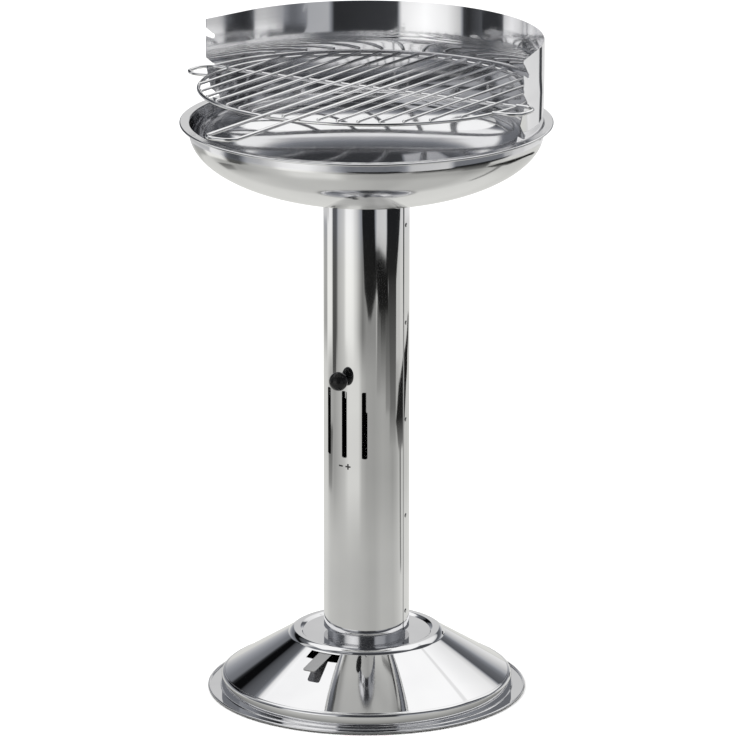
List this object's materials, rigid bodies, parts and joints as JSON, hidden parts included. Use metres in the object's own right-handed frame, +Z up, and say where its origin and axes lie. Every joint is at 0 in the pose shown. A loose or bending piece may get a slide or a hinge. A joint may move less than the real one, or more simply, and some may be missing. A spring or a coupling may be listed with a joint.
{
  "type": "pedestal charcoal grill",
  "caption": "Free-standing pillar grill: spun foot, round column with air slots and damper knob, shallow fire bowl, half-round windshield with height notches and a handled wire grid.",
  "frame": {"origin": "on the floor, on the column's axis, in the plane of the foot's flat flange", "axes": "+Z up along the column; -Y is the front, with the air slots, the damper knob, the ash lever and the grid's long handle; +Y is the back, with the windshield; +X is on the right of someone standing in front of the grill and looking towards +Y"},
  "size_m": [0.4737, 0.5841, 0.8245],
  "materials": {
    "polished_steel": "mirror-polished stainless sheet",
    "formed_steel": "plain formed sheet, dull",
    "plated_wire": "bright plated wire",
    "grate_wire": "plain drawn wire",
    "fasteners": "bright zinc",
    "black_knob": "black thermoset, glossy"
  },
  "bodies": {
    "pedestal": {"base_foot": "polished_steel", "shutter_pivot": "fasteners", "shutter_spring_washer": "fasteners", "column_bottom_ring": "formed_steel", "base_bolts": "fasteners", "base_washers": "fasteners", "base_nuts": "fasteners", "column_tube": "polished_steel", "seam_rivets": "fasteners", "column_top_ring": "formed_steel", "bowl_bolts": "fasteners", "bowl_washers": "fasteners", "bowl_nuts": "fasteners", "fire_bowl": "polished_steel", "windshield": "polished_steel", "windshield_screws": "fasteners", "windshield_washers": "fasteners", "windshield_nuts": "fasteners"},
    "air_damper": {"damper_sleeve": "polished_steel", "damper_stem": "fasteners", "damper_nut": "fasteners", "damper_spacer": "fasteners", "damper_knob": "black_knob"},
    "ash_shutter": {"shutter_disc": "formed_steel", "shutter_lever": "polished_steel", "shutter_rivets": "fasteners"},
    "cooking_grid": {"grid_ring": "plated_wire", "grid_bars": "plated_wire", "grid_cross_rod": "plated_wire", "grid_loop_left": "plated_wire", "grid_loop_right": "plated_wire", "grid_front_handle": "plated_wire"},
    "charcoal_grate": {"charcoal_grate_ring": "grate_wire", "charcoal_grate_bars": "grate_wire"},
    "pan": {"ash_pan": "formed_steel"}
  },
  "joints": [
    {"name": "air_damper_turn", "type": "hinge", "parent": "pedestal", "child": "air_damper", "pos_m": [0, 0, 0.36], "axis": [0, 0, 1], "range_deg": [-9, 0]},
    {"name": "ash_shutter_turn", "type": "hinge", "parent": "pedestal", "child": "ash_shutter", "pos_m": [0, 0, 0.0702], "axis": [0, 0, 1], "range_deg": [-6, 6]},
    {"name": "cooking_grid_lift", "type": "slide", "parent": "pedestal", "child": "cooking_grid", "axis": [0, -0.9063, 0.4226], "range_m": [0, 0.2]},
    {"name": "charcoal_grate_lift", "type": "slide", "parent": "pedestal", "child": "charcoal_grate", "axis": [0, 0, 1], "range_m": [0, 0.1]},
    {"name": "ash_pan_drop", "type": "slide", "parent": "pedestal", "child": "pan", "axis": [0, 0, -1], "range_m": [0, 0.1]}
  ]
}
